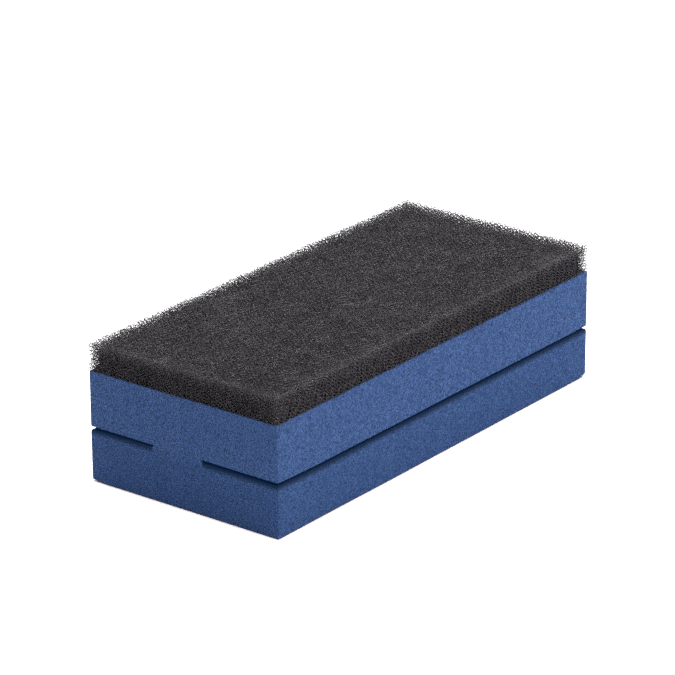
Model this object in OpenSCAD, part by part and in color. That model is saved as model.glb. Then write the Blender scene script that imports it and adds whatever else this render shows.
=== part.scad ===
// Two-layer foam eraser block.
// A slab of dense closed-cell foam is the handle. A straight slot runs the full length of each long
// side, for the fingertips or for the edges of a wiping cloth. A thin film of adhesive bonds a softer
// open-cell wiping pad to its top.
// Frame: X along the length, Y across the width, +Z up, origin at the centre of the rest face.
// Sizes in millimetres.

/* [Overall size] */
// Length of the eraser, along X
length = 110; // [90:1:140]
// Width of the eraser, along Y
width = 50; // [46:1:70]

/* [Grip block] */
// Height of the dense foam block, from the rest face to the adhesive
block_height = 25; // [20:0.5:35]

/* [Grip slots] */
// Height of the slots' ceiling above the rest face
slot_ceiling = 12.05; // [9:0.05:15]
// Open gap of each slot, from its floor to its ceiling
slot_gap = 0.6; // [0.5:0.1:2]
// How far the slot in the front side (-Y) cuts in
front_slot_depth = 20; // [8:0.5:20]
// How far the slot in the back side (+Y) cuts in
back_slot_depth = 17; // [8:0.5:20]
// Rounding of the lower lip at the mouth of each slot
lip_radius = 0.6; // [0.2:0.1:1.5]

/* [Wiping pad] */
// Thickness of the adhesive film
film_thickness = 0.2; // [0.1:0.05:0.5]
// Thickness of the open-cell wiping pad
pad_thickness = 5.8; // [3:0.1:12]

/* [Hidden] */
$fn = 48;
// How far a cutter reaches past the face that it opens
overcut = 1;
slot_floor = slot_ceiling - slot_gap;
film_base = block_height;
pad_base = film_base + film_thickness;

// Turns a section drawn across the width (x along +Y, y along +Z) into a bar along X
module along_length() {
    rotate([90, 0, 90])
        linear_extrude(height = length, center = true)
            children();
}

// Section of one slot that opens in the front side
module slot_section(depth) {
    translate([-width / 2 - overcut, slot_floor])
        square([depth + overcut, slot_gap]);
}

// Section of the sliver that rounds the lower lip of a front slot
module lip_section() {
    translate([-width / 2, slot_floor - lip_radius])
        difference() {
            translate([-overcut, 0])
                square([lip_radius + overcut, lip_radius + slot_gap / 2]);
            translate([lip_radius, 0])
                circle(r = lip_radius);
        }
}

// Everything that is cut away for one front slot
module slot_cut_section(depth) {
    slot_section(depth);
    lip_section();
}

// Dense foam handle with its two slots and the web that is left between them
module grip_block() {
    color([0.23, 0.33, 0.51])
        along_length()
            difference() {
                translate([-width / 2, 0])
                    square([width, block_height]);
                slot_cut_section(front_slot_depth);
                mirror([1, 0])
                    slot_cut_section(back_slot_depth);
            }
}

// A layer that covers the whole top of the block
module layer(base, thickness) {
    translate([-length / 2, -width / 2, base])
        cube([length, width, thickness]);
}

// Film of hot-melt adhesive between the block and the pad
module adhesive_film() {
    color([0.20, 0.15, 0.11])
        layer(film_base, film_thickness);
}

// Open-cell wiping pad, as the solid that its cut faces enclose
module foam_pad() {
    color([0.17, 0.16, 0.17])
        layer(pad_base, pad_thickness);
}

grip_block();
adhesive_film();
foam_pad();
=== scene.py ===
import math

import bpy
import numpy as np
from mathutils import Euler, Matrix, Quaternion, Vector, noise
from mathutils.geometry import delaunay_2d_cdt


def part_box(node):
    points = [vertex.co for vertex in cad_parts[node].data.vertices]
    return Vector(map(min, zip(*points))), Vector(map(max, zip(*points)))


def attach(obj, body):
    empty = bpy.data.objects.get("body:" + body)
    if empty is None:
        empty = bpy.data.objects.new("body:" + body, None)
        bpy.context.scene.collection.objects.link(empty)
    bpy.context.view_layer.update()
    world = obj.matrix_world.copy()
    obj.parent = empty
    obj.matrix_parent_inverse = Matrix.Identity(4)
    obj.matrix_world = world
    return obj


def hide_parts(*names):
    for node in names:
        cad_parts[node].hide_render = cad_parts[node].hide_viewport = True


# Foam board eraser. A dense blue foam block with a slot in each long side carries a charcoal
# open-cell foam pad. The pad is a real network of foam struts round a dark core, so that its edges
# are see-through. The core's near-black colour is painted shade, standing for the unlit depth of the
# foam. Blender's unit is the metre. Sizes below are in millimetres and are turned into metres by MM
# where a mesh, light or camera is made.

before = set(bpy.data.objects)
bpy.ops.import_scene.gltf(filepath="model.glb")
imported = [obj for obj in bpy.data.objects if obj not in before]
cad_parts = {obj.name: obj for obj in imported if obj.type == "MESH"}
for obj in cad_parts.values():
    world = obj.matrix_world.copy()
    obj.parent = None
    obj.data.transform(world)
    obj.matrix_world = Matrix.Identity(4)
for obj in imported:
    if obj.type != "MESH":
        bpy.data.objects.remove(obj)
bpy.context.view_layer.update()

MM = 0.001
SEED = 20
RNG = np.random.default_rng(SEED)


def box_mm(node):
    """A CAD node's lowest and highest corners in millimetres."""
    low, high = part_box(node)
    return np.array(low) / MM, np.array(high) / MM


BLOCK_LOW, BLOCK_HIGH = box_mm("grip_block")
FILM_LOW, FILM_HIGH = box_mm("adhesive_film")
PAD_LOW, PAD_HIGH = box_mm("foam_pad")

# ---------------------------------------------------------------- grip block

SLOT_CEILING = 12.05         # above the rest face
SLOT_GAP = 0.6
FRONT_SLOT_DEPTH = 20.0
BACK_SLOT_DEPTH = 17.0
FRONT_SLOT_END_GAP = 0.5     # the slots narrow towards their inner ends
BACK_SLOT_END_GAP = 0.35
LIP_RADIUS = 0.6             # lower lip of each slot, worn round
LIP_STEPS = 6
LIP_REACH = 4.0              # how far below the slots their worn ends bend the end faces
SLOT_LIFT = 0.4              # the slots rise near the -X end
SLOT_LIFT_RUN = 20.0
SLOT_LIFT_POWER = 2.0        # how quickly the rise fades with distance from that end
CUT_EDGE = 0.16              # rounding of the block's knife-cut edges
SLOT_EDGE = 0.15             # rounding of the slots' sharp corners
END_EDGE = 0.12              # rounding round the end faces
EDGE_SPACING = 0.03          # least distance from that rounding to the next ring
ARC_STEPS = 3
SKIN_SPACING = 0.5           # mesh spacing on the sides that show
FLAT_SPACING = 1.0           # on the top and the bottom
SLOT_SPACING = 1.6           # inside the slots
GRAIN_HEIGHT = 0.018         # roughness of cut closed-cell foam
PIT_SHARE = 0.07             # share of skin points that fall in an opened cell
PIT_DEPTH = 0.11
SHALLOWEST_PIT = 0.3         # share of that depth
WAVE_HEIGHT = 0.07           # slow unevenness of a foam slab's cut faces
WAVE_LENGTH = 18.0
WAVE_SEED = 1
PRESSED_CORNERS = (          # bottom corners that have lifted: x and y ends, run and rise
    (1, 0, 3.0, 0.6),
    (0, 1, 4.0, 0.5),
)
PRESSED_HEIGHT = 4.0         # the lift fades out at this height
PRESSED_FADE = 1.5           # and sideways with this power
SHADE_DEPTH = 1.0            # painted shade: a slot is deep navy from its ceiling down to this far below it
SHADE_FADE = 2.1             # and the painted shade under its lip fades to plain blue from this far below it
SHADE_EDGE = 0.04            # softness of the shade's edge along the ceiling
SHADE_END = 0.4              # and at the slot's inner end

# ------------------------------------------------------------- adhesive film

FILM_INSET = 0.5             # the film stops this far inside the joint
FILM_CORNER = 0.3
FILM_SPACING = 1.2
FILM_WANDER = 0.12
FILM_WANDER_LENGTH = 3.0
FILM_SEED = 2
FILM_BULGE = 0.06
BEADS = ((8.0, 0.13), (20.0, 0.16))   # on the -X end face: place from the front, and size
BEAD_STEPS = 8
BEAD_TIP = 0.1               # least width of a bead's rings, as a share of its size
BEAD_FLATNESS = 0.6          # height of a bead, as a share of its width
BEAD_LUMPS = 0.25            # its unevenness, as a share of its size
BEAD_SEED = 4

# ---------------------------------------------------------------- foam pad

CELL = 0.67                  # mean width of a foam cell
STRUT = 0.050                # mean reach of a strut's three ridges from its axis
STRUT_THINNEST = 0.8         # at each node it is between these shares of that
STRUT_THICKEST = 1.25
CELL_JITTER = 0.22           # spread of cell centres, in cells
NODE_JITTER = 0.07           # further spread of the nodes between them, in cells
CELL_TURN = (0.88, -0.53, 0.262)  # stands the lattice nearly on a corner of its cube, in radians
DRIFT_LENGTH = 9.0           # wavelength and reach of the bends of the cell lattice, in cells
DRIFT_REACH = 0.9
DRIFT_SEEDS = (11, 12, 13)
SHORTEST_STUB = 0.55         # cut struts keep between this share of their length and all of it
LEAST_SHARE = 0.02           # and never less than this share
SIDE_STAND = 0.20            # cut struts stand this far outside the sides of the pad's box
TOP_STAND = 0.32             # and this far above its top
FOOT_STAND = 0.25            # and are sunk this far into the adhesive and the block
CORE_INSET = 0.9             # open struts between the pad's sides and its dark core
CORE_COVER = 0.65            # open struts above the core
CORE_BEVEL_RUN = 4.0         # the core falls away towards the pad's top edges
CORE_BEVEL_DROP = 1.2
CORE_CORNER = 2.8            # rounding of the core's upright edges, as seen from the pad's sides
CORE_SHARPEST = 0.6
CORE_SPACING = 0.8
CORE_RINGS = 5
CORE_LUMP_HEIGHT = 0.2
CORE_LUMP_LENGTH = 1.4
CORE_SEED = 3
STRUT_PIECES = 14            # the network is split along X, so that each mesh stays a light one
END_PIECE = 4.0              # length of its first and last piece, which also have the end faces

# ------------------------------------------------------- looks of materials
# Colours are linear red, green, blue and alpha. Each pair of colours is blended by a pattern.

BLUE_PATCHES = ((0.049, 0.109, 0.280, 1), (0.055, 0.118, 0.299, 1))
BLUE_BAND = (0.063, 0.131, 0.317, 1)
BLUE_MOTTLE = (0.062, 0.131, 0.320, 1)
BLUE_GRAIN = (0.022, 0.052, 0.164, 1)
# painted shade inside opened cells
BLUE_PIT_SHADE = (0.014, 0.036, 0.115, 1)
# painted shade for the block's lower part
BLUE_PAINTED_LOW_SHADE = (0.012, 0.048, 0.158, 1)
# painted shade in the slots and under their lips, and a faint painted bounce light glowing there
SLOT_PAINTED_SHADE = (0.0005, 0.009, 0.032, 1)
SLOT_PAINTED_BOUNCE_LIGHT = (0.001, 0.008, 0.028, 1)
NO_GLOW = (0, 0, 0, 1)
BLUE_PATCH_SIZE = 14.0
BAND_SIZE = 1.8
BAND_STRETCH = (1, 1, 0.06)  # saw bands run up and down
MOTTLE_SIZE = 1.3
GRAIN_SIZE = 0.42
PIT_SPACING = 0.62           # small opened cells, each a very fine dot of painted shade
VOID_SPACING = 1.3           # larger opened cells, also painted shade
BAND_SHARE = 0.9             # how strongly each pattern shows
MOTTLE_SHARE = 0.8
GRAIN_SHARE = 0.75
PIT_COLOUR_SHARE = 0.6
VOID_SHARE = 0.7
LOW_SHARE = 0.3              # painted shade: the block's lower part is darker
LOW_FROM = 13.0              # from this height
LOW_FULL = 9.0               # to this height and below
BLUE_RELIEF = 0.07
BLUE_ROUGHNESS = (0.78, 0.95)

# painted shade: the adhesive darkened to near black in the joint
FILM_SHADE_BROWNS = ((0.004, 0.003, 0.003, 1), (0.008, 0.006, 0.005, 1))
BEAD_AMBERS = ((0.16, 0.11, 0.07, 1), (0.24, 0.17, 0.11, 1))
FILM_CLOUD_SIZE = 2.0
BEAD_CLOUD_SIZE = 0.3
FILM_RELIEF = 0.05
FILM_ROUGHNESS = (0.7, 0.9)
BEAD_RELIEF = 0.03
BEAD_ROUGHNESS = (0.3, 0.5)

STRUT_PATCHES = ((0.041, 0.036, 0.042, 1), (0.044, 0.039, 0.045, 1))
STRUT_FLECK = (0.087, 0.076, 0.091, 1)
# painted highlight along the front's top edge
STRUT_PAINTED_RIM_LIGHT = (0.120, 0.106, 0.120, 1)
STRUT_PATCH_SIZE = 9.0
FLECK_SIZE = 0.3
STRUT_ROUGHNESS = (0.60, 0.45)
RIM_LIGHT_RUN = 1.2             # painted highlight: the front's top edge is paler this far in
RIM_LIGHT_DROP = 3.0            # and this far down
RIM_LIGHT_SHARES = (0.05, 0.40)  # by these shares, down there and at the top

# painted shade of the pad's unlit depth
CORE_SHADE_GREYS = ((0.006, 0.006, 0.006, 1), (0.020, 0.019, 0.020, 1))
CORE_MOTTLE_SIZE = 0.6
CORE_RELIEF = 0.3
CORE_ROUGHNESS = (0.85, 1.0)

SWEEP_WHITES = ((0.80, 0.80, 0.80, 1), (0.82, 0.82, 0.82, 1))
# painted contact shadow under the block
SWEEP_CONTACT_SHADOW = (0.12, 0.05, 0.04, 1)
SWEEP_GLOW = 1.1
SWEEP_TONE_SIZE = 200.0
CONTACT_REACH = 2.0          # the painted contact shadow, a warm line under the block, is this wide
CONTACT_SAMPLES = 8
CONTACT_SPAN = (0.5, 0.85)   # openness of the floor from full painted shadow to none

CLOUD_SPAN = (0.3, 0.7)      # the values of a noise that a pattern goes from none to full between
BAND_SPAN = (0.35, 0.65)
GRAIN_SPAN = (0.36, 0.64)
PIT_SPAN = (0.16, 0.30)      # distance from a pit's centre, in pit spacings, from full to none
VOID_SPAN = (0.15, 0.25)
CORE_CELL_SPAN = (0.15, 0.6)

# -------------------------------------------------------------- mesh making

FILL_SHIFT = 0.3             # how far inner points stray from an even grid, in grid steps
FILL_GAP = 0.5               # least distance of inner points from the outline, in grid steps
MERGE_DISTANCE = 1e-7        # points nearer than this become one
SEED_STEP = (17.3, 5.1, 11.7)  # how far each seed moves a noise


# ================================================================ mesh helpers

def new_object(name, points, quads, triangles):
    """A mesh object from points in millimetres and arrays of four-sided and three-sided faces."""
    mesh = bpy.data.meshes.new(name)
    mesh.vertices.add(len(points))
    mesh.vertices.foreach_set("co", (np.asarray(points) * MM).astype(np.float32).ravel())
    corners = np.concatenate([np.ravel(quads), np.ravel(triangles)]).astype(np.int32)
    sizes = np.concatenate([np.full(len(quads), 4), np.full(len(triangles), 3)])
    mesh.loops.add(len(corners))
    mesh.loops.foreach_set("vertex_index", corners)
    mesh.polygons.add(len(sizes))
    mesh.polygons.foreach_set("loop_start", (np.cumsum(sizes) - sizes).astype(np.int32))
    mesh.update(calc_edges=True)
    mesh.polygons.foreach_set("use_smooth", np.ones(len(sizes), bool))
    mesh.validate()
    piece = bpy.data.objects.new(name, mesh)
    bpy.context.scene.collection.objects.link(piece)
    return piece


def fillet(before, corner, after, radius):
    """Points round a square corner, from the side that comes before it to the side after it."""
    back = (before - corner) / np.linalg.norm(before - corner)
    on = (after - corner) / np.linalg.norm(after - corner)
    centre = corner + radius * (back + on)
    turns = np.linspace(0, math.pi / 2, ARC_STEPS + 1)
    return [centre - radius * (math.cos(t) * on + math.sin(t) * back) for t in turns]


def outline(corners):
    """A closed path of points. Each corner is (x, y, radius, spacing of the side that follows it)."""
    places = [np.array(c[:2], float) for c in corners]
    arcs = [
        fillet(places[i - 1], places[i], places[(i + 1) % len(places)], corners[i][2])
        for i in range(len(places))
    ]
    path = []
    for i, arc in enumerate(arcs):
        path += arc
        start, end = arc[-1], arcs[(i + 1) % len(arcs)][0]
        parts = max(1, round(np.linalg.norm(end - start) / corners[i][3]))
        path += [start + (end - start) * k / parts for k in range(1, parts)]
    return np.array(path)


def outward(path):
    """Unit normals of a closed, anticlockwise path."""
    along = np.roll(path, -1, 0) - np.roll(path, 1, 0)
    normals = np.stack([along[:, 1], -along[:, 0]], 1)
    return normals / np.linalg.norm(normals, axis=1, keepdims=True)


def within(points, path):
    """True for each point inside a closed path."""
    a, b = path, np.roll(path, -1, 0)
    x, y = points[:, :1], points[:, 1:]
    spans = (a[:, 1] > y) != (b[:, 1] > y)
    rise = np.where(b[:, 1] == a[:, 1], 1.0, b[:, 1] - a[:, 1])
    crossing = a[:, 0] + (y - a[:, 1]) * (b[:, 0] - a[:, 0]) / rise
    return (spans & (x < crossing)).sum(1) % 2 == 1


def fill(path, spacing):
    """Inner points and triangles that close a flat path. Triangles count the path's points first."""
    low, high = path.min(0), path.max(0)
    steps = [np.arange(low[i] + spacing / 2, high[i], spacing) for i in range(2)]
    inner = np.stack(np.meshgrid(*steps), -1).reshape(-1, 2)
    inner += RNG.uniform(-FILL_SHIFT, FILL_SHIFT, inner.shape) * spacing
    gap = np.linalg.norm(inner[:, None] - path[None], axis=2).min(1)
    inner = inner[within(inner, path) & (gap > FILL_GAP * spacing)]
    points = np.concatenate([path, inner])
    ring = [(i, (i + 1) % len(path)) for i in range(len(path))]
    places = [Vector(p) for p in points]
    _, _, faces, origins, _, _ = delaunay_2d_cdt(places, ring, [], 1, MERGE_DISTANCE)
    first = [o[0] for o in origins]
    return inner, np.array([[first[v] for v in f] for f in faces])


def loft(rings, lift, spacing):
    """Points, quads and triangles of a closed solid. rings is a list of (path, height) pairs, and
    lift turns flat points and their height into points in space. spacing is for the end faces."""
    count = len(rings[0][0])
    points = [lift(path, height) for path, height in rings]
    around = np.arange(count)
    follow = np.roll(around, -1)
    quads = []
    for k in range(len(rings) - 1):
        here, above = k * count, (k + 1) * count
        quads.append(np.stack([here + around, here + follow, above + follow, above + around], 1))
    total = count * len(rings)
    triangles = []
    for (path, height), start, flip in ((rings[0], 0, True), (rings[-1], total - count, False)):
        inner, faces = fill(path, spacing)
        numbers = np.concatenate([start + around, total + np.arange(len(inner))])
        faces = numbers[faces]
        triangles.append(faces[:, ::-1] if flip else faces)
        points.append(lift(inner, height))
        total += len(inner)
    return np.concatenate(points), np.concatenate(quads), np.concatenate(triangles)


def smooth_noise(points, length, seed):
    """Smooth noise between about -1 and 1 at each point, with this wavelength."""
    shift = Vector([seed * step for step in SEED_STEP])
    return np.array([noise.noise(Vector(p) / length + shift) for p in points])


def read_vertices(mesh, what):
    """A mesh's vertex positions ("co") or normals ("normal")."""
    values = np.empty(len(mesh.vertices) * 3, np.float32)
    mesh.vertices.foreach_get(what, values)
    return values.reshape(-1, 3).astype(float)


def move_vertices(mesh, points):
    """Puts a mesh's vertices at these points, in metres."""
    mesh.vertices.foreach_set("co", points.astype(np.float32).ravel())
    mesh.update()


def push_out(piece, heights):
    """Moves each vertex of a piece along its normal by its height, in millimetres."""
    mesh = piece.data
    push = read_vertices(mesh, "normal") * heights[:, None] * MM
    move_vertices(mesh, read_vertices(mesh, "co") + push)


def stand_on_ground(piece):
    """Flattens whatever part of a piece reaches below the ground."""
    points = read_vertices(piece.data, "co")
    points[:, 2] = np.maximum(points[:, 2], 0)
    move_vertices(piece.data, points)


def finest_spacing(mesh):
    """Length of the shortest edge at each vertex, in millimetres."""
    ends = np.empty(len(mesh.edges) * 2, np.int32)
    mesh.edges.foreach_get("vertices", ends)
    ends = ends.reshape(-1, 2)
    points = read_vertices(mesh, "co") / MM
    length = np.linalg.norm(points[ends[:, 0]] - points[ends[:, 1]], axis=1)
    shortest = np.full(len(points), np.inf)
    for side in range(2):
        np.minimum.at(shortest, ends[:, side], length)
    return shortest


# ================================================================ materials

class Look:
    """A material and short ways to add nodes to it."""

    def __init__(self, name):
        self.material = bpy.data.materials.new(name)
        self.material.use_nodes = True
        self.tree = self.material.node_tree
        self.surface = self.tree.nodes["Principled BSDF"]
        self.place = self.add("TexCoord").outputs["Object"]

    def add(self, kind, **settings):
        """A new shader node of this kind."""
        node = self.tree.nodes.new("ShaderNode" + kind)
        for name, value in settings.items():
            setattr(node, name, value)
        return node

    def join(self, socket, value):
        """Feeds a node's input from another node's output, or with a plain value."""
        if isinstance(value, bpy.types.NodeSocket):
            self.tree.links.new(value, socket)
        else:
            socket.default_value = value

    def stretched(self, x, y, z):
        """Places scaled along each axis, so that patterns there stretch along the small ones."""
        node = self.add("VectorMath", operation="MULTIPLY")
        self.join(node.inputs[0], self.place)
        self.join(node.inputs[1], (x, y, z))
        return node.outputs[0]

    def along(self, axis):
        """Place along the X, Y or Z axis, in metres."""
        node = self.add("SeparateXYZ")
        self.join(node.inputs[0], self.place)
        return node.outputs[axis]

    def noise(self, size, detail=2.0, place=None):
        """Noise from 0 to 1 with features of this size in millimetres."""
        node = self.add("TexNoise")
        self.join(node.inputs["Vector"], place or self.place)
        self.join(node.inputs["Scale"], 1 / (size * MM))
        self.join(node.inputs["Detail"], detail)
        return node.outputs["Fac"]

    def cloud(self, size, detail=2.0):
        """Soft patches of this size in millimetres, from 0 to 1."""
        return self.spread(self.noise(size, detail), *CLOUD_SPAN)

    def cells(self, size):
        """Distance from the centres of cells of this size in millimetres, in cell sizes."""
        node = self.add("TexVoronoi")
        self.join(node.inputs["Vector"], self.place)
        self.join(node.inputs["Scale"], 1 / (size * MM))
        return node.outputs["Distance"]

    def dots(self, spacing, span):
        """Scattered dots: 1 near their centres and 0 between them."""
        return self.spread(self.cells(spacing), *span, 1.0, 0.0)

    def spread(self, value, low, high, to_low=0.0, to_high=1.0):
        """value, taken from the span low to high to the span to_low to to_high, and held there."""
        node = self.add("MapRange")
        for name, number in (("Value", value), ("From Min", low), ("From Max", high),
                             ("To Min", to_low), ("To Max", to_high)):
            self.join(node.inputs[name], number)
        return node.outputs["Result"]

    def maths(self, operation, first, second):
        """Two values, combined by arithmetic."""
        node = self.add("Math", operation=operation)
        self.join(node.inputs[0], first)
        self.join(node.inputs[1], second)
        return node.outputs[0]

    def blend(self, share, first, second):
        """A colour between two others."""
        node = self.add("Mix", data_type="RGBA")
        for name, value in (("Factor_Float", share), ("A_Color", first), ("B_Color", second)):
            socket = next(s for s in node.inputs if s.identifier == name)
            self.join(socket, value)
        return next(s for s in node.outputs if s.identifier == "Result_Color")

    def overlay(self, colour, pattern, strength, over):
        """colour with another one over it where a pattern is, at this strength."""
        return self.blend(self.maths("MULTIPLY", pattern, strength), colour, over)

    def bump(self, height, depth, strength=1.0):
        """Makes height, from 0 to 1, a relief this many millimetres deep."""
        node = self.add("Bump")
        self.join(node.inputs["Height"], height)
        self.join(node.inputs["Distance"], depth * MM)
        self.join(node.inputs["Strength"], strength)
        self.join(self.surface.inputs["Normal"], node.outputs["Normal"])

    def set(self, name, value):
        """Sets one of the surface's own inputs."""
        self.join(self.surface.inputs[name], value)


def slot_shade(look):
    """Where shade is painted: 1 inside the slots, falling to 0 a little way below their mouths."""
    end, run_end = BLOCK_LOW[0] * MM, (BLOCK_LOW[0] + SLOT_LIFT_RUN) * MM
    near_end = look.spread(look.along("X"), end, run_end, 1.0, 0.0)
    lift = look.maths("MULTIPLY", look.maths("POWER", near_end, SLOT_LIFT_POWER), SLOT_LIFT * MM)
    ceiling = look.maths("ADD", lift, SLOT_CEILING * MM)
    below = look.maths("SUBTRACT", ceiling, look.along("Z"))
    fade = look.spread(below, SHADE_FADE * MM, SHADE_DEPTH * MM)
    under = look.spread(below, -SHADE_EDGE * MM, SHADE_EDGE * MM)
    web_front = BLOCK_LOW[1] + FRONT_SLOT_DEPTH
    web_back = BLOCK_HIGH[1] - BACK_SLOT_DEPTH
    in_front = look.spread(look.along("Y"), web_front * MM, (web_front - SHADE_END) * MM)
    behind = look.spread(look.along("Y"), web_back * MM, (web_back + SHADE_END) * MM)
    in_slot = look.maths("ADD", in_front, behind)
    return look.maths("MULTIPLY", look.maths("MULTIPLY", fade, under), in_slot)


def dense_foam_look():
    """Matte blue closed-cell foam: fine sawn grain, faint saw bands, small opened cells painted dark
    as shade, painted shade low down, and painted shade with a faint painted bounce light in and under
    the slots.
    """
    look = Look("dense_foam")
    patches = look.cloud(BLUE_PATCH_SIZE, detail=3.0)
    bands = look.noise(BAND_SIZE, detail=1.0, place=look.stretched(*BAND_STRETCH))
    bands = look.spread(bands, *BAND_SPAN)
    mottling = look.cloud(MOTTLE_SIZE)
    grain = look.spread(look.noise(GRAIN_SIZE, detail=1.0), *GRAIN_SPAN)
    pits = look.dots(PIT_SPACING, PIT_SPAN)
    voids = look.dots(VOID_SPACING, VOID_SPAN)
    blue = look.blend(patches, *BLUE_PATCHES)
    blue = look.overlay(blue, bands, BAND_SHARE, BLUE_BAND)
    blue = look.overlay(blue, mottling, MOTTLE_SHARE, BLUE_MOTTLE)
    blue = look.overlay(blue, grain, GRAIN_SHARE, BLUE_GRAIN)
    # painted shade in the small and larger opened cells
    blue = look.overlay(blue, pits, PIT_COLOUR_SHARE, BLUE_PIT_SHADE)
    blue = look.overlay(blue, voids, VOID_SHARE, BLUE_PIT_SHADE)
    # painted shade: darker towards the bottom
    painted_low_shade = look.spread(look.along("Z"), LOW_FROM * MM, LOW_FULL * MM, 0.0, LOW_SHARE)
    blue = look.blend(painted_low_shade, blue, BLUE_PAINTED_LOW_SHADE)
    # painted shade in and under the slots, with a faint painted bounce light as emission
    shade = slot_shade(look)
    look.set("Base Color", look.blend(shade, blue, SLOT_PAINTED_SHADE))
    look.set("Emission Color", look.blend(shade, NO_GLOW, SLOT_PAINTED_BOUNCE_LIGHT))
    look.set("Emission Strength", 1.0)
    look.set("Roughness", look.spread(grain, 0.0, 1.0, *BLUE_ROUGHNESS))
    look.set("Specular IOR Level", 0.25)
    raised = look.maths("ADD", grain, mottling)
    sunk = look.maths("ADD", pits, voids)
    look.bump(look.maths("SUBTRACT", raised, sunk), BLUE_RELIEF, strength=0.8)
    return look.material


def adhesive_look():
    """Adhesive deep in the joint: near black as painted shade, a little cloudy and dull."""
    look = Look("adhesive")
    cloud = look.cloud(FILM_CLOUD_SIZE, detail=3.0)
    look.set("Base Color", look.blend(cloud, *FILM_SHADE_BROWNS))
    look.set("Roughness", look.spread(cloud, 0.0, 1.0, *FILM_ROUGHNESS))
    look.set("Specular IOR Level", 0.1)
    look.bump(cloud, FILM_RELIEF, strength=0.5)
    return look.material


def bead_look():
    """Amber hot-melt adhesive, squeezed out where light reaches it."""
    look = Look("adhesive_bead")
    cloud = look.cloud(BEAD_CLOUD_SIZE)
    look.set("Base Color", look.blend(cloud, *BEAD_AMBERS))
    look.set("Roughness", look.spread(cloud, 0.0, 1.0, *BEAD_ROUGHNESS))
    look.bump(cloud, BEAD_RELIEF, strength=0.5)
    return look.material


def strut_look():
    """Charcoal foam struts: dark, with a dull shine that varies from place to place, and a painted
    highlight along the front's top edge."""
    look = Look("open_cell_foam")
    patches = look.cloud(STRUT_PATCH_SIZE, detail=3.0)
    flecks = look.spread(look.noise(FLECK_SIZE, detail=1.0), *BAND_SPAN)
    grey = look.blend(patches, *STRUT_PATCHES)
    grey = look.blend(flecks, grey, STRUT_FLECK)
    front, top = PAD_LOW[1], PAD_HIGH[2]
    # painted highlight where the front's top edge catches the light
    near_front = look.spread(look.along("Y"), (front + RIM_LIGHT_RUN) * MM, front * MM)
    near_top = look.spread(look.along("Z"), (top - RIM_LIGHT_DROP) * MM, top * MM, *RIM_LIGHT_SHARES)
    painted_rim_light = look.maths("MULTIPLY", near_front, near_top)
    look.set("Base Color", look.blend(painted_rim_light, grey, STRUT_PAINTED_RIM_LIGHT))
    look.set("Roughness", look.spread(flecks, 0.0, 1.0, *STRUT_ROUGHNESS))
    look.set("Specular IOR Level", 0.5)
    return look.material


def core_look():
    """Painted shade for the depth of the pad, where little light reaches: near black, mottled by its
    cells.
    """
    look = Look("open_cell_foam_depth")
    cells = look.spread(look.cells(CELL), *CORE_CELL_SPAN)
    mottling = look.noise(CORE_MOTTLE_SIZE)
    look.set("Base Color", look.blend(cells, *CORE_SHADE_GREYS))
    look.set("Roughness", look.spread(mottling, *CLOUD_SPAN, *CORE_ROUGHNESS))
    look.set("Specular IOR Level", 0.1)
    look.bump(cells, CORE_RELIEF)
    return look.material


def sweep_look():
    """White photographic sweep, bright enough to stay white where it is shaded, except for a thin
    warm painted contact shadow where something touches it."""
    look = Look("white_sweep")
    white = look.blend(look.cloud(SWEEP_TONE_SIZE), *SWEEP_WHITES)
    look.set("Base Color", white)
    look.set("Roughness", 0.9)
    look.set("Specular IOR Level", 0.0)
    # painted contact shadow: the floor's glow darkens where the block hides it
    shade = look.add("AmbientOcclusion", samples=CONTACT_SAMPLES)
    look.join(shade.inputs["Distance"], CONTACT_REACH * MM)
    painted_contact_shadow = look.spread(shade.outputs["AO"], *CONTACT_SPAN)
    look.set("Emission Color", look.blend(painted_contact_shadow, SWEEP_CONTACT_SHADOW, white))
    seen = look.add("LightPath").outputs["Is Camera Ray"]
    look.set("Emission Strength", look.maths("MULTIPLY", seen, SWEEP_GLOW))
    return look.material


# ================================================================ pieces

def finish_piece(piece, material, slot, *stands_for):
    """Gives a piece its material and its place on the only body. Its slot is not used."""
    piece.data.materials.append(material)
    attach(piece, "root")
    if stands_for:
        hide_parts(*stands_for)


def block_section():
    """Outline of the grip block across its width: x is +Y and y is +Z."""
    front, back, top = BLOCK_LOW[1], BLOCK_HIGH[1], BLOCK_HIGH[2]
    floor = SLOT_CEILING - SLOT_GAP
    return outline([
        (front, 0, CUT_EDGE, FLAT_SPACING),
        (back, 0, CUT_EDGE, SKIN_SPACING),
        (back, floor, LIP_RADIUS, SLOT_SPACING),
        (back - BACK_SLOT_DEPTH, SLOT_CEILING - BACK_SLOT_END_GAP, SLOT_EDGE, SLOT_SPACING),
        (back - BACK_SLOT_DEPTH, SLOT_CEILING, SLOT_EDGE, SLOT_SPACING),
        (back, SLOT_CEILING, SLOT_EDGE, SKIN_SPACING),
        (back, top, CUT_EDGE, FLAT_SPACING),
        (front, top, CUT_EDGE, SKIN_SPACING),
        (front, SLOT_CEILING, SLOT_EDGE, SLOT_SPACING),
        (front + FRONT_SLOT_DEPTH, SLOT_CEILING, SLOT_EDGE, SLOT_SPACING),
        (front + FRONT_SLOT_DEPTH, SLOT_CEILING - FRONT_SLOT_END_GAP, SLOT_EDGE, SLOT_SPACING),
        (front, floor, LIP_RADIUS, SKIN_SPACING),
    ])


def ease_corner(points, corner, run, rise):
    """Lifts the block's bottom near one of its corners, as a foam corner that has been pressed."""
    away = np.linalg.norm(points[:, :2] - np.array(corner), axis=1)
    near = np.clip(1 - away / run, 0, 1) ** PRESSED_FADE
    low = np.clip(1 - points[:, 2] / PRESSED_HEIGHT, 0, 1)
    points[:, 2] += rise * near * low


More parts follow.
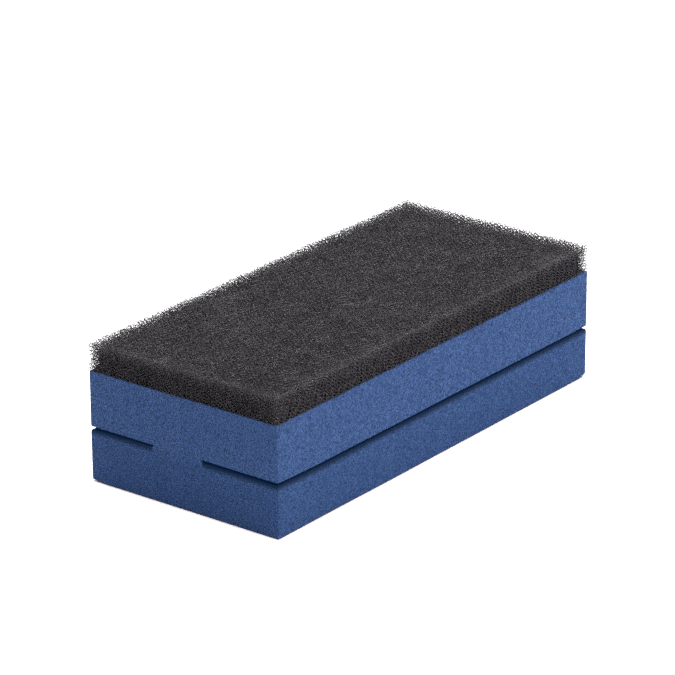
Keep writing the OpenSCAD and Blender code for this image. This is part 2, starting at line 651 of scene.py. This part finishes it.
def lip_fall(gap):
    """How far a slot's worn lower lip has fallen, at this distance from the face it meets."""
    short = np.clip(LIP_RADIUS - gap, 0, LIP_RADIUS)
    return LIP_RADIUS - np.sqrt(LIP_RADIUS ** 2 - short ** 2)


def wear_slot_ends(points):
    """Rounds each slot's lower lip where it meets the end faces, as it is along the sides."""
    x, y, z = points.T
    side_gap = np.where(y < 0, y - BLOCK_LOW[1], BLOCK_HIGH[1] - y)
    depth = np.where(y < 0, FRONT_SLOT_DEPTH, BACK_SLOT_DEPTH)
    opened = np.clip((depth - side_gap) / LIP_RADIUS, 0, 1)
    side_fall = lip_fall(side_gap)
    end_fall = lip_fall(BLOCK_HIGH[0] - np.abs(x)) * opened
    floor = SLOT_CEILING - SLOT_GAP
    near = np.clip(1 - (floor - side_fall - z) / LIP_REACH, 0, 1) * (z < floor + SLOT_GAP / 2)
    points[:, 2] -= np.maximum(end_fall - side_fall, 0) * near


def bend_block(points):
    """The small departures of a real sawn block from a true prism."""
    wear_slot_ends(points)
    height = points[:, 2]
    below = height / SLOT_CEILING
    above = (BLOCK_HIGH[2] - height) / (BLOCK_HIGH[2] - SLOT_CEILING)
    near_end = np.clip(1 - (points[:, 0] - BLOCK_LOW[0]) / SLOT_LIFT_RUN, 0, 1)
    lift = SLOT_LIFT * near_end ** SLOT_LIFT_POWER
    points[:, 2] += lift * np.clip(np.minimum(below, above), 0, 1)
    ends = (BLOCK_LOW, BLOCK_HIGH)
    for x_end, y_end, run, rise in PRESSED_CORNERS:
        ease_corner(points, (ends[x_end][0], ends[y_end][1]), run, rise)
    return points


def stations_near_end():
    """Distance from an end face, and inset of the section, of the block's rings near that face."""
    turns = np.linspace(0, math.pi / 2, ARC_STEPS + 1)
    edge = [(END_EDGE * (1 - math.cos(t)), END_EDGE * (1 - math.sin(t))) for t in turns]
    worn = LIP_RADIUS * (1 - np.cos(np.linspace(0, math.pi / 2, LIP_STEPS + 1)))
    return edge + [(along, 0.0) for along in worn[:-1] if along > END_EDGE + EDGE_SPACING]


def make_grip_block(material):
    """The blue block: a slotted bar whose cut faces have grain, opened cells and slow waves."""
    section = block_section()
    normals = outward(section)
    low, high = BLOCK_LOW[0], BLOCK_HIGH[0]
    near_end = stations_near_end()
    middle = np.linspace(low + LIP_RADIUS, high - LIP_RADIUS, round((high - low) / SKIN_SPACING))
    stations = [(low + along, inset) for along, inset in near_end]
    stations += [(x, 0.0) for x in middle]
    stations += [(high - along, inset) for along, inset in reversed(near_end)]
    rings = [(section - normals * inset, x) for x, inset in stations]

    def lift(path, x):
        return bend_block(np.column_stack([np.full(len(path), x), path]))

    piece = new_object("grip_block_skin", *loft(rings, lift, SKIN_SPACING))
    points = read_vertices(piece.data, "co") / MM
    waves = smooth_noise(points, WAVE_LENGTH, WAVE_SEED) * WAVE_HEIGHT
    grain = RNG.uniform(-1, 1, len(points)) * GRAIN_HEIGHT
    pitted = RNG.random(len(points)) < PIT_SHARE
    pits = pitted * RNG.uniform(SHALLOWEST_PIT, 1.0, len(points)) * PIT_DEPTH
    room = np.clip(finest_spacing(piece.data) / SKIN_SPACING, 0, 1)
    push_out(piece, waves + (grain - pits) * room)
    stand_on_ground(piece)
    finish_piece(piece, material, "dense_foam", "grip_block")


def level(path, z):
    """Flat points at one height."""
    return np.column_stack([path, np.full(len(path), z)])


def rectangle(low, high, corner, spacing):
    """Plan of a rectangle with rounded corners."""
    return outline([(low[0], low[1], corner, spacing), (high[0], low[1], corner, spacing),
                    (high[0], high[1], corner, spacing), (low[0], high[1], corner, spacing)])


def make_adhesive_film(material):
    """The bond line: a thin sheet whose edge wanders a little."""
    plan = rectangle(FILM_LOW[:2] + FILM_INSET, FILM_HIGH[:2] - FILM_INSET, FILM_CORNER, FILM_SPACING)
    wander = smooth_noise(level(plan, 0), FILM_WANDER_LENGTH, FILM_SEED) * FILM_WANDER
    plan = plan + outward(plan) * wander[:, None]
    middle = (FILM_LOW[2] + FILM_HIGH[2]) / 2
    rings = [(plan, FILM_LOW[2]), (plan + outward(plan) * FILM_BULGE, middle), (plan, FILM_HIGH[2])]
    piece = new_object("adhesive_film_sheet", *loft(rings, level, 2 * FILM_SPACING))
    finish_piece(piece, material, "adhesive", "adhesive_film")


def make_adhesive_beads(material):
    """Small beads of adhesive, squeezed out of the joint on the -X end face."""
    around = np.arange(2 * BEAD_STEPS) * math.pi / BEAD_STEPS
    circle = np.stack([np.cos(around), np.sin(around)], 1)
    turns = np.linspace(0, math.pi, BEAD_STEPS + 1)
    middle = (FILM_LOW[2] + FILM_HIGH[2]) / 2
    for i, (away, size) in enumerate(BEADS):
        centre = np.array([FILM_LOW[0] + size / 2, FILM_LOW[1] + away, middle])

        def lift(path, x):
            flat = (1, 1, BEAD_FLATNESS)
            return centre + np.column_stack([np.full(len(path), x), path]) * flat

        rings = [(circle * size * max(math.sin(t), BEAD_TIP), -size * math.cos(t)) for t in turns]
        piece = new_object(f"adhesive_bead_{i + 1}", *loft(rings, lift, size))
        points = read_vertices(piece.data, "co") / MM
        push_out(piece, smooth_noise(points, size, BEAD_SEED) * size * BEAD_LUMPS)
        finish_piece(piece, material, "adhesive")


def core_cover(inset):
    """How deep below the pad's top the core lies, at this distance from the pad's sides."""
    return CORE_COVER + CORE_BEVEL_DROP * np.clip(1 - (inset - CORE_INSET) / CORE_BEVEL_RUN, 0, 1)


def inside_core(points):
    """True for points within the pad's solid-looking depth."""
    half = (PAD_HIGH[:2] - PAD_LOW[:2]) / 2
    middle = (PAD_HIGH[:2] + PAD_LOW[:2]) / 2
    from_side = half - np.abs(points[:, :2] - middle)
    beyond = np.clip(CORE_CORNER - from_side, 0, None)
    inset = np.where(
        (from_side < CORE_CORNER).all(1),
        CORE_CORNER - np.linalg.norm(beyond, axis=1),
        from_side.min(1),
    )
    return (inset > CORE_INSET) & (PAD_HIGH[2] - points[:, 2] > core_cover(inset))


def make_core(material):
    """The depth of the pad, seen only between struts: a solid that carries the painted shade of that
    depth.
    """
    insets = CORE_INSET + CORE_BEVEL_RUN * np.linspace(0, 1, CORE_RINGS)
    tops = PAD_HIGH[2] - core_cover(insets)
    upright = [(CORE_INSET, z) for z in np.linspace(PAD_LOW[2], tops[0], CORE_RINGS)]
    base = rectangle(PAD_LOW[:2] + CORE_INSET, PAD_HIGH[:2] - CORE_INSET,
                     max(CORE_CORNER - CORE_INSET, CORE_SHARPEST), CORE_SPACING)
    middle = (PAD_HIGH[:2] + PAD_LOW[:2]) / 2
    half = (PAD_HIGH[:2] - PAD_LOW[:2]) / 2

    def plan(inset):
        return middle + (base - middle) * (half - inset) / (half - CORE_INSET)

    rings = [(plan(inset), z) for inset, z in upright + list(zip(insets, tops))[1:]]
    piece = new_object("foam_pad_core", *loft(rings, level, CORE_SPACING))
    points = read_vertices(piece.data, "co") / MM
    lumps = smooth_noise(points, CORE_LUMP_LENGTH, CORE_SEED) * CORE_LUMP_HEIGHT
    push_out(piece, np.where(points[:, 2] > PAD_LOW[2], lumps, 0))
    finish_piece(piece, material, "open_cell_foam", "foam_pad")


class Foam:
    """An open-cell foam: struts along the edges of jittered cells on a body-centred lattice.

    Cells sit on lattice points whose three whole-number coordinates are all odd or all even. Four
    cells meet at each node, and three round each strut. A node's four corners each point to one of
    its cells, and a strut joins three corners of one node to three of the next, so that all the
    struts together are one closed surface."""

    def __init__(self, low, high):
        self.low, self.high = low, high
        step = CELL * 2 ** (1 / 3) / 2    # so that each cell's volume is the cube of CELL
        turn = np.array(Euler(CELL_TURN).to_matrix())
        centre, reach = (low + high) / 2, (high - low) / 2 + 2 * CELL
        signs = np.array([[x, y, z] for x in (-1, 1) for y in (-1, 1) for z in (-1, 1)])
        corners = (signs * reach) @ turn
        self.first = np.floor(corners.min(0) / step).astype(int) - 3
        self.count = np.ceil(corners.max(0) / step).astype(int) + 4 - self.first
        ranges = [np.arange(n) + f for n, f in zip(self.count, self.first)]
        index = np.stack(np.meshgrid(*ranges, indexing="ij"), -1).reshape(-1, 3)
        odd = index % 2
        cells = index[(odd == odd[:, :1]).all(1)]
        places = (cells * step) @ turn.T + centre
        near = (np.abs(places - centre) < reach + 2 * CELL).all(1)
        cells, places = cells[near], places[near]
        self.centres = np.zeros((self.count.prod(), 3))
        self.find_struts(cells[(np.abs(places - centre) < reach).all(1)])
        drift = [smooth_noise(places, DRIFT_LENGTH * CELL, seed) for seed in DRIFT_SEEDS]
        places = places + np.stack(drift, 1) * DRIFT_REACH * CELL
        self.centres[self.number(cells)] = places + RNG.normal(0, CELL_JITTER * CELL, places.shape)
        around = self.centres[self.node_cells]
        self.nodes = around.mean(1)
        self.nodes += RNG.normal(0, NODE_JITTER * CELL, self.nodes.shape)
        way = around - self.nodes[:, None]
        way /= np.linalg.norm(way, axis=2, keepdims=True)
        thickness = STRUT * RNG.uniform(STRUT_THINNEST, STRUT_THICKEST, len(self.nodes))
        self.corners = self.nodes[:, None] + thickness[:, None, None] * way
        self.stub = RNG.uniform(SHORTEST_STUB, 1, len(self.strut_nodes))

    def number(self, cells):
        """One number for each lattice point."""
        i, j, k = (cells - self.first).T
        return (i * self.count[1] + j) * self.count[2] + k

    def find_struts(self, cells):
        """Nodes and struts. Each cell and the next one along an axis have a ring of four nodes
        between them, inside the square of four cells that surrounds their shared face."""
        unit = np.eye(3, dtype=int)
        keys, node_cells, strut_keys, strut_cells = [], [], [], []
        for axis in range(3):
            ahead, left, up = unit[axis], unit[(axis + 1) % 3], unit[(axis + 2) % 3]
            pair = [cells, cells + 2 * ahead]
            turns = ((1, 1), (-1, 1), (-1, -1), (1, -1))
            square = [cells + ahead + a * left + b * up for a, b in turns]
            ring = []
            for s in range(4):
                four = pair + [square[s], square[(s + 1) % 4]]
                ring.append(self.node_key(sum(four)))
                keys.append(ring[-1])
                node_cells.append(np.stack([self.number(c) for c in four], 1))
            for s in range(4):
                after = (s + 1) % 4
                three = [cells, square[after], cells + 2 * ahead]
                strut_keys.append(np.stack([ring[s], ring[after]], 1))
                strut_cells.append(np.stack([self.number(c) for c in three], 1))
        known, first_at = np.unique(np.concatenate(keys), return_index=True)
        self.node_cells = np.concatenate(node_cells)[first_at]
        self.strut_nodes = np.searchsorted(known, np.concatenate(strut_keys))
        self.strut_cells = np.concatenate(strut_cells)

    def node_key(self, total):
        """One number for each node, from the sum of its four cells' lattice points."""
        i, j, k = (total - 4 * self.first).T
        return (i * 4 * self.count[1] + j) * 4 * self.count[2] + k

    def struts_within(self, low, high):
        """Points, quads and triangles of the struts between low and high and outside the core.
        Struts that cross the pad's own faces end as stubs of uneven length."""
        keep = ((self.nodes > low) & (self.nodes < high)).all(1) & ~inside_core(self.nodes)
        used = keep[self.strut_nodes].any(1)
        (start, end), cells, stub = self.strut_nodes[used].T, self.strut_cells[used], self.stub[used]
        turned = ~keep[start]
        start, end = np.where(turned, end, start), np.where(turned, start, end)
        cells = np.where(turned[:, None], cells[:, ::-1], cells)
        cut = ~keep[end]
        start_slots = self.slots(start, cells)
        end_slots = self.slots(end, cells)
        share = self.share_inside(start, end, low, high)
        at_face = self.share_inside(start, end, self.low, self.high)
        share = np.where(at_face < 1, np.minimum(share, at_face * stub), share)
        near = self.corners[start[:, None], start_slots]
        far = self.corners[end[:, None], end_slots]
        far = near + share[:, None, None] * (far - near)
        present = np.zeros(self.corners.shape[:2], bool)
        present[start[:, None], start_slots] = True
        present[end[~cut][:, None], end_slots[~cut]] = True
        numbers = np.full(present.shape, -1)
        numbers[present] = np.arange(present.sum())
        near_ids = numbers[start[:, None], start_slots]
        far_ids = numbers[end[:, None], end_slots]
        far_ids[cut] = present.sum() + np.arange(3 * cut.sum()).reshape(-1, 3)
        points = np.concatenate([self.corners[present], far[cut].reshape(-1, 3)])
        quads = [
            np.stack([far_ids[:, i], far_ids[:, i - 2], near_ids[:, i - 2], near_ids[:, i]], 1)
            for i in range(3)
        ]
        return points, np.concatenate(quads), far_ids[cut][:, ::-1]

    def slots(self, nodes, cells):
        """Which of each node's four corners points to each of a strut's three cells."""
        return np.stack([(self.node_cells[nodes] == c[:, None]).argmax(1) for c in cells.T], 1)

    def share_inside(self, start, end, low, high):
        """How much of each strut, from its start, lies between low and high."""
        here, there = self.nodes[start], self.nodes[end]
        run = np.where(there == here, 1.0, there - here)
        share = np.where(there > high, (high - here) / run, 1.0)
        share = np.minimum(share, np.where(there < low, (low - here) / run, 1.0))
        return np.clip(share.min(1), LEAST_SHARE, 1)


def make_struts(material):
    """The open outer part of the pad, as equal lengths of one network."""
    below = np.array([SIDE_STAND, SIDE_STAND, FOOT_STAND])
    above = np.array([SIDE_STAND, SIDE_STAND, TOP_STAND])
    foam = Foam(PAD_LOW - below, PAD_HIGH + above)
    inner = np.linspace(foam.low[0] + END_PIECE, foam.high[0] - END_PIECE, STRUT_PIECES - 1)
    walls = [foam.low[0], *inner, foam.high[0]]
    for i in range(STRUT_PIECES):
        low, high = foam.low.copy(), foam.high.copy()
        low[0], high[0] = walls[i], walls[i + 1]
        piece = new_object(f"foam_pad_struts_{i + 1}", *foam.struts_within(low, high))
        piece.data.polygons.foreach_set("use_smooth", np.zeros(len(piece.data.polygons), bool))
        finish_piece(piece, material, "open_cell_foam")


# ================================================================ stage

CAMERA_AZIMUTH = -52.02
CAMERA_ELEVATION = 21.66
CAMERA_ROLL = -0.46
CAMERA_DISTANCE = 842.0
CAMERA_TARGET = (0.30, 2.57, 20.08)
CAMERA_LENS = 208.3          # focal length
LIGHT_DISTANCE = 900.0
LIGHT_SIZE = 500.0
SOFT_LIGHTS = (              # name, azimuth, elevation and power
    ("left", -60, 65, 3.0),
    ("front", 10, 50, 4.2),
    ("side", 90, 45, 8.3),
    ("back", 180, 45, 5.8),
)
SKY_LIGHT = 0.12             # even light from all round
WHITE = (1, 1, 1, 1)
FLOOR_HALF = 6000.0
FLOOR_ROWS = 25
FLOOR_DROP = 0.02            # keeps the floor clear of the block's bottom


def direction(azimuth, elevation):
    """Unit vector from the object towards a viewer. Azimuth 0 is at -Y, and 90 at +X."""
    a, e = math.radians(azimuth), math.radians(elevation)
    return Vector((math.sin(a) * math.cos(e), -math.cos(a) * math.cos(e), math.sin(e)))


def aim(thing, azimuth, elevation, distance, target, roll=0.0):
    """Puts a camera or light at a distance from a target and points it there."""
    back = direction(azimuth, elevation)
    thing.rotation_mode = "QUATERNION"
    thing.rotation_quaternion = back.to_track_quat("Z", "Y") @ Quaternion((0, 0, 1), roll)
    thing.location = (Vector(target) + back * distance) * MM
    bpy.context.scene.collection.objects.link(thing)


def make_camera():
    """The camera, at a three-quarter view from the front and -X."""
    camera = bpy.data.objects.new("camera", bpy.data.cameras.new("camera"))
    camera.data.lens = CAMERA_LENS
    aim(camera, CAMERA_AZIMUTH, CAMERA_ELEVATION, CAMERA_DISTANCE, CAMERA_TARGET,
        math.radians(CAMERA_ROLL))
    bpy.context.scene.camera = camera


def soft_light(name, azimuth, elevation, watts):
    """A square soft box that faces the object."""
    data = bpy.data.lights.new(name, "AREA")
    data.size = LIGHT_SIZE * MM
    data.energy = watts
    aim(bpy.data.objects.new(name, data), azimuth, elevation, LIGHT_DISTANCE, CAMERA_TARGET)


def make_floor():
    """A wide flat sheet, so that it has no visible end."""
    steps = np.linspace(-FLOOR_HALF, FLOOR_HALF, FLOOR_ROWS)
    flat = np.stack(np.meshgrid(steps, steps), -1).reshape(-1, 2)
    corner = np.arange(FLOOR_ROWS * FLOOR_ROWS).reshape(FLOOR_ROWS, FLOOR_ROWS)
    quads = np.stack([corner[:-1, :-1], corner[:-1, 1:], corner[1:, 1:], corner[1:, :-1]], -1)
    no_triangles = np.zeros((0, 3), int)
    floor = new_object("floor", level(flat, -FLOOR_DROP), quads.reshape(-1, 4), no_triangles)
    floor.data.materials.append(sweep_look())


def make_world():
    """Weak white light all round, seen as plain white."""
    world = bpy.data.worlds.new("studio")
    bpy.context.scene.world = world
    world.use_nodes = True
    nodes, links = world.node_tree.nodes, world.node_tree.links
    shine = nodes["Background"]
    shine.inputs["Color"].default_value = WHITE
    shine.inputs["Strength"].default_value = SKY_LIGHT
    seen = nodes.new("ShaderNodeBackground")
    seen.inputs["Color"].default_value = WHITE
    mix = nodes.new("ShaderNodeMixShader")
    links.new(nodes.new("ShaderNodeLightPath").outputs["Is Camera Ray"], mix.inputs[0])
    links.new(shine.outputs[0], mix.inputs[1])
    links.new(seen.outputs[0], mix.inputs[2])
    links.new(mix.outputs[0], nodes["World Output"].inputs["Surface"])


make_grip_block(dense_foam_look())
make_adhesive_film(adhesive_look())
make_adhesive_beads(bead_look())
make_core(core_look())
make_struts(strut_look())
make_floor()
make_world()
for light in SOFT_LIGHTS:
    soft_light(*light)
make_camera()
bpy.context.scene.view_settings.view_transform = "Standard"
bpy.context.scene.cycles.use_denoising = False
